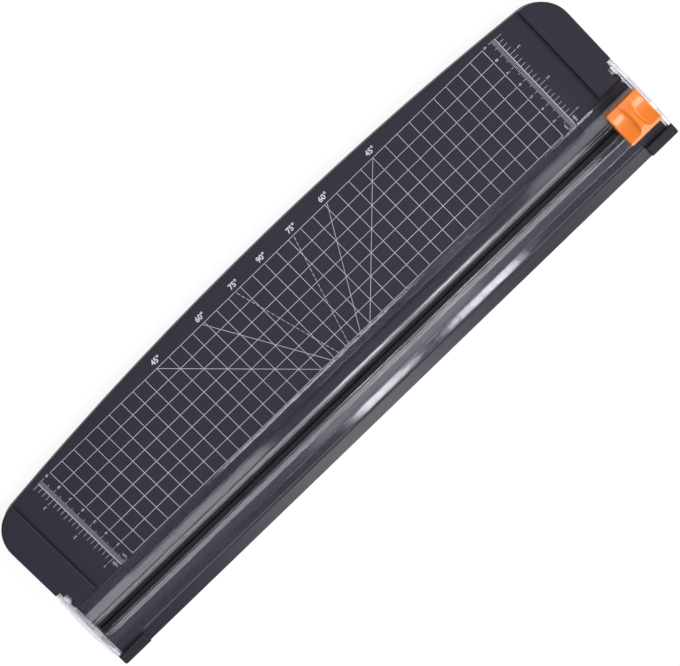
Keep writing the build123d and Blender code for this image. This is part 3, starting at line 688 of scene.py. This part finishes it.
class TRIMMER_OT_print_scales(bpy.types.Operator):
    """Print the centimetre and inch scales beside the grid"""

    bl_idname = "trimmer.print_scales"
    bl_label = "Print Side Scales"

    # Short, middle and tall ticks: millimetres inside the long line, eighths of an inch outside it
    millimetre_ticks = np.array([3.0, 4.2, 5.0]) * MM
    eighth_ticks = np.array([3.8, 4.6, 5.2]) * MM
    eighth = 25.4 / INCH_STEPS * MM
    eighths = np.arange(-1, 21)

    # The first inch's distance from the grid's front line, the inches, and the first centimetre
    first_inch = 6.0 * MM
    inches = 3
    first_centimetre = 3

    # Distance of numbers from the long line, of units from it and the front line, and their turn
    number_offset = 7.5 * MM
    units = (("cm", -5.2 * MM, 2.4 * MM), ("inch", 2.4 * MM, 2.6 * MM))
    turn = np.pi / 2

    def print_ticks(self, sizes, line_x, front, back):
        """Both sides' long lines and ticks, as straight bars."""
        millimetres = np.arange(sizes.rows * CM_STEPS + 1)
        tick_y = front + millimetres * MM
        inner = tick_lengths(millimetres, self.millimetre_ticks, CM_STEPS)
        inch_y = front + self.first_inch + self.eighths * self.eighth
        keep = (inch_y > front) & (inch_y < back)
        outer = tick_lengths(self.eighths, self.eighth_ticks, INCH_STEPS)[keep]
        inch_y = inch_y[keep]
        starts = []
        ends = []
        for side in (-1, 1):
            middle = side * line_x
            starts += [pairs([middle], front), pairs(middle, tick_y), pairs(middle, inch_y)]
            ends += [
                pairs([middle], back),
                pairs(side * (line_x - inner), tick_y),
                pairs(side * (line_x + outer), inch_y),
            ]
        starts = np.concatenate(starts)
        ends = np.concatenate(ends)
        # Each side begins with its long line
        widths = np.full(len(starts), sizes.tick)
        widths[[0, len(starts) // 2]] = sizes.scale_line
        bed_lines("scale_ticks", starts, ends, widths, sizes.ink)

    def execute(self, context):
        sizes = context.scene.trimmer_print
        front = sizes.grid_front
        back = front + sizes.rows * sizes.square
        line_x = sizes.columns * sizes.square / 2 + sizes.scale_offset
        self.print_ticks(sizes, line_x, front, back)
        labels = []
        for side in (-1, 1):
            inside = side * (line_x - self.number_offset)
            outside = side * (line_x + self.number_offset)
            for row in range(sizes.rows):
                number = str(self.first_centimetre + row)
                y = front + (row + 1) * sizes.square
                labels.append((number, sizes.scale_text, inside, y, self.turn))
            for inch in range(self.inches):
                y = front + self.first_inch + inch * INCH_STEPS * self.eighth
                labels.append((str(1 + inch), sizes.scale_text, outside, y, self.turn))
            for unit, away, up in self.units:
                labels.append((unit, sizes.unit_text, side * (line_x + away), front + up, self.turn))
        bed_words("scale_numbers", labels, sizes.ink)
        return {"FINISHED"}


class TRIMMER_OT_dress_rail(bpy.types.Operator):
    """Make the rail clear and lay its black scales on both flanges"""

    bl_idname = "trimmer.dress_rail"
    bl_label = "Dress Rail"

    # The rail's outer surface from the slope to the flange's bevel, away from the cut and above the bed
    surface = np.array([
        (10.6, 4.35), (11.6, 3.57), (12.6, 2.79), (13.05, 2.52), (13.5, 2.41), (15.0, 2.4), (17.6, 2.4),
    ]) * MM
    rings = 7

    # How far from the cut the ticks begin, and where short, middle and tall ones end
    back_near = 11.4 * MM
    back_far = np.array([13.4, 14.4, 15.3]) * MM
    front_near = 13.6 * MM
    front_far = np.array([15.0, 15.0, 16.2]) * MM

    # Length of the scales, and the numbers' rows behind and in front of the cut
    centimetres = 38
    number_rows = (16.6 * MM, -17.2 * MM)

    def lay_ticks(self, name, side, places, near, far, sizes):
        """Ticks that follow the rail's surface: the outline is carried from the slope down to the flange.

        Each ring is a rectangle across the tick, sunk by the ink's thickness and proud by as much.
        """
        share = np.linspace(0, 1, self.rings)
        away = near + (far - near)[:, None] * share
        height = np.interp(away, self.surface[:, 0], self.surface[:, 1])
        half = sizes.rail_tick / 2
        bars = np.empty((len(places), self.rings, 4, 3))
        bars[..., 0] = places[:, None, None] + np.array([half, -half, -half, half])
        bars[..., 1] = CUT_Y + side * away[..., None]
        bars[..., 2] = BED_Z + height[..., None] + np.array([-1, -1, 1, 1]) * sizes.ink
        if side < 0:
            bars = bars[:, ::-1]
        ticks = solid_mesh(name, bars, carried_profile(bars))
        lay_on(ticks, bpy.data.materials["rail_ink"], "rail")

    def execute(self, context):
        sizes = context.scene.trimmer_print
        colours = context.scene.trimmer_finish
        wear(RAIL_STRIPS, clear_plastic("clear_plastic", tuple(colours.clear), ripple=0.7, clarity=1.0))
        wear(RAIL_ENDS, clear_plastic("end_plastic", tuple(colours.ends), ripple=0.3, clarity=0.8))
        black = moulded_plastic(
            "rail_ink", (0.004, 0.004, 0.005), roughness=0.5, fineness=3000.0, depth=0.01 * MM
        )
        millimetres = np.arange(self.centimetres * CM_STEPS + 1)
        places = (millimetres - self.centimetres * CM_STEPS // 2) * MM
        far = tick_lengths(millimetres, self.back_far, CM_STEPS)
        self.lay_ticks("rail_ticks_back", 1, places, self.back_near, far, sizes)
        halves = slice(None, None, CM_STEPS // 2)
        far = tick_lengths(millimetres[halves], self.front_far, CM_STEPS)
        self.lay_ticks("rail_ticks_front", -1, places[halves], self.front_near, far, sizes)
        labels = [
            (str(centimetre), sizes.rail_text, places[centimetre * CM_STEPS], CUT_Y + away, 0.0)
            for away in self.number_rows
            for centimetre in range(self.centimetres + 1)
        ]
        numbers = ink_words("rail_numbers", labels, BED_Z + self.surface[-1, 1], sizes.ink)
        lay_on(numbers, black, "rail")
        return {"FINISHED"}


class TRIMMER_OT_dress_slider(bpy.types.Operator):
    """Finish the press cap, the carriage and the cutter inside"""

    bl_idname = "trimmer.dress_slider"
    bl_label = "Dress Slider"

    def execute(self, context):
        colours = context.scene.trimmer_finish
        keeper = moulded_plastic(
            "keeper_plastic", (0.012, 0.012, 0.013), roughness=0.5, fineness=2600.0, depth=0.02 * MM
        )
        holder = moulded_plastic(
            "holder_plastic", (0.62, 0.62, 0.60), roughness=0.45, fineness=2600.0, depth=0.02 * MM
        )
        wear(["press_cap", "slider_carriage"], gloss_plastic("orange_plastic", tuple(colours.cap)))
        wear(["slider_keeper"], keeper)
        wear(["blade_holder"], holder)
        wear(["blade"], ground_steel("blade_steel", (0.62, 0.62, 0.64), roughness=0.25))
        small = ground_steel("small_steel", (0.52, 0.52, 0.54), roughness=0.3)
        wear(["keeper_screws", "blade_pin"], small)
        return {"FINISHED"}


class TRIMMER_OT_wind_springs(bpy.types.Operator):
    """Wind the return springs as coils in place of the spring nodes"""

    bl_idname = "trimmer.wind_springs"
    bl_label = "Wind Springs"

    def execute(self, context):
        sizes = context.scene.trimmer_spring
        for name, node in SPRINGS.items():
            low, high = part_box(node)
            foot = np.array([(low.x + high.x) / 2, (low.y + high.y) / 2, low.z + sizes.wire / 2])
            radius = (high.x - low.x - sizes.wire) / 2
            wound = coil(foot, radius, sizes.wire, high.z - low.z - sizes.wire, sizes.turns)
            spring = solid_mesh(name, wound, carried_profile(wound))
            spring.data.shade_smooth()
            lay_on(spring, bpy.data.materials["small_steel"], "carriage")
            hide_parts(node)
            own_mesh(spring)
        return {"FINISHED"}


def softbox(name, place, aim, size, power):
    """A rectangular lamp that faces a point."""
    lamp = bpy.data.lights.new(name, "AREA")
    lamp.shape = "RECTANGLE"
    lamp.size, lamp.size_y = size
    lamp.energy = power
    holder = bpy.data.objects.new(name, lamp)
    holder.location = place
    holder.rotation_euler = (Vector(place) - Vector(aim)).to_track_quat("Z", "Y").to_euler()
    bpy.context.scene.collection.objects.link(holder)


def studio_sky(zenith, horizon):
    """A grey surround, dark overhead and bright at floor level: strength follows a direction's height."""
    sky = bpy.data.worlds.new("studio_sky")
    sky.use_nodes = True
    tree = sky.node_tree
    toward = tree.nodes.new("ShaderNodeTexCoord")
    split = tree.nodes.new("ShaderNodeSeparateXYZ")
    tree.links.new(toward.outputs["Generated"], split.inputs["Vector"])
    background = tree.nodes["Background"]
    background.inputs["Color"].default_value = (1, 1, 1, 1)
    tree.links.new(spread(tree, split.outputs["Z"], horizon, zenith), background.inputs["Strength"])
    return sky


def floor_white():
    """White to the camera and to reflections, with a soft shadow, and plain matte to other light."""
    finish = bpy.data.materials.new("floor_white")
    finish.use_nodes = True
    tree = finish.node_tree
    tree.nodes.clear()
    matte = tree.nodes.new("ShaderNodeBsdfDiffuse")
    matte.inputs["Color"].default_value = (0.8, 0.8, 0.8, 1)
    shadowed = tree.nodes.new("ShaderNodeBsdfDiffuse")
    shadowed.inputs["Color"].default_value = (0.16, 0.16, 0.16, 1)
    glow = tree.nodes.new("ShaderNodeEmission")
    glow.inputs["Strength"].default_value = 0.88
    both = tree.nodes.new("ShaderNodeAddShader")
    mix = tree.nodes.new("ShaderNodeMixShader")
    out = tree.nodes.new("ShaderNodeOutputMaterial")
    path = tree.nodes.new("ShaderNodeLightPath")
    seen = join_values(tree, "MAXIMUM", path.outputs["Is Camera Ray"], path.outputs["Is Glossy Ray"])
    seen = join_values(tree, "MAXIMUM", seen, path.outputs["Is Transmission Ray"])
    link = tree.links.new
    link(seen, mix.inputs["Fac"])
    link(shadowed.outputs["BSDF"], both.inputs[0])
    link(glow.outputs["Emission"], both.inputs[1])
    link(matte.outputs["BSDF"], mix.inputs[1])
    link(both.outputs["Shader"], mix.inputs[2])
    link(mix.outputs["Shader"], out.inputs["Surface"])
    return finish


def lay_floor():
    """A wide level floor: a grid of points over a square."""
    steps = np.linspace(-FLOOR_REACH, FLOOR_REACH, FLOOR_POINTS)
    x, y = np.meshgrid(steps, steps, indexing="ij")
    points = np.stack([x, y, np.zeros_like(x)], -1)
    inner = np.arange(FLOOR_POINTS - 1)
    corner = (inner[:, None] * FLOOR_POINTS + inner).reshape(-1, 1)
    faces = corner + np.array([0, FLOOR_POINTS, FLOOR_POINTS + 1, 1])
    floor = solid_mesh("floor", points, faces)
    floor.data.materials.append(floor_white())


class TRIMMER_OT_set_stage(bpy.types.Operator):
    """Set the floor, the lamps and the camera"""

    bl_idname = "trimmer.set_stage"
    bl_label = "Set Stage"

    def execute(self, context):
        scene = context.scene
        stage = scene.trimmer_stage
        scene.view_settings.view_transform = "Standard"
        lay_floor()
        scene.world = studio_sky(stage.zenith, stage.horizon)
        softbox("left_fill", (-1.25, -0.45, 0.95), (0, 0, 0), (0.8, 0.8), stage.left_fill)
        softbox("right_fill", (3.60, -1.00, 3.40), (0, 0, 0), (2.6, 2.6), stage.fill)
        for lamp in LAMPS:
            softbox(*lamp)
        lens = bpy.data.cameras.new("photo_camera")
        lens.sensor_width = SENSOR_WIDTH
        lens.lens = stage.lens
        lens.clip_end = CLIP_END
        camera = bpy.data.objects.new("photo_camera", lens)
        turn = Matrix((CAMERA_ACROSS, -Vector(CAMERA_DOWN), -Vector(CAMERA_AHEAD))).transposed().to_4x4()
        camera.matrix_world = Matrix.Translation(stage.camera_place) @ turn
        scene.collection.objects.link(camera)
        scene.camera = camera
        return {"FINISHED"}


class TRIMMER_PT_looks(bpy.types.Panel):
    """Sidebar panel with the sizes, the colours and the steps"""

    bl_idname = "TRIMMER_PT_looks"
    bl_label = "Paper Trimmer"
    bl_space_type = "VIEW_3D"
    bl_region_type = "UI"
    bl_category = "Trimmer"

    def draw(self, context):
        column = self.layout.column()
        for hook in GROUPS:
            group = getattr(context.scene, hook)
            for name in group.__annotations__:
                column.prop(group, name)
        for step in STEPS:
            column.operator(step.bl_idname)


STEPS = (
    TRIMMER_OT_dress_base,
    TRIMMER_OT_print_grid,
    TRIMMER_OT_print_scales,
    TRIMMER_OT_dress_rail,
    TRIMMER_OT_dress_slider,
    TRIMMER_OT_wind_springs,
    TRIMMER_OT_set_stage,
)
GROUPS = {
    "trimmer_print": TrimmerPrint,
    "trimmer_spring": TrimmerSpring,
    "trimmer_finish": TrimmerFinish,
    "trimmer_stage": TrimmerStage,
}


def register():
    """Register the classes and hang the settings on the scene."""
    for item in (*GROUPS.values(), *STEPS, TRIMMER_PT_looks):
        bpy.utils.register_class(item)
    for name, group in GROUPS.items():
        setattr(bpy.types.Scene, name, bpy.props.PointerProperty(type=group))


def unregister():
    """Take the settings and the classes away again."""
    for name in GROUPS:
        delattr(bpy.types.Scene, name)
    for item in (TRIMMER_PT_looks, *reversed(STEPS), *GROUPS.values()):
        bpy.utils.unregister_class(item)


def main():
    """Run every step in order."""
    register()
    bpy.ops.trimmer.dress_base()
    bpy.ops.trimmer.print_grid()
    bpy.ops.trimmer.print_scales()
    bpy.ops.trimmer.dress_rail()
    bpy.ops.trimmer.dress_slider()
    bpy.ops.trimmer.wind_springs()
    bpy.ops.trimmer.set_stage()


if __name__ == "__main__":
    main()
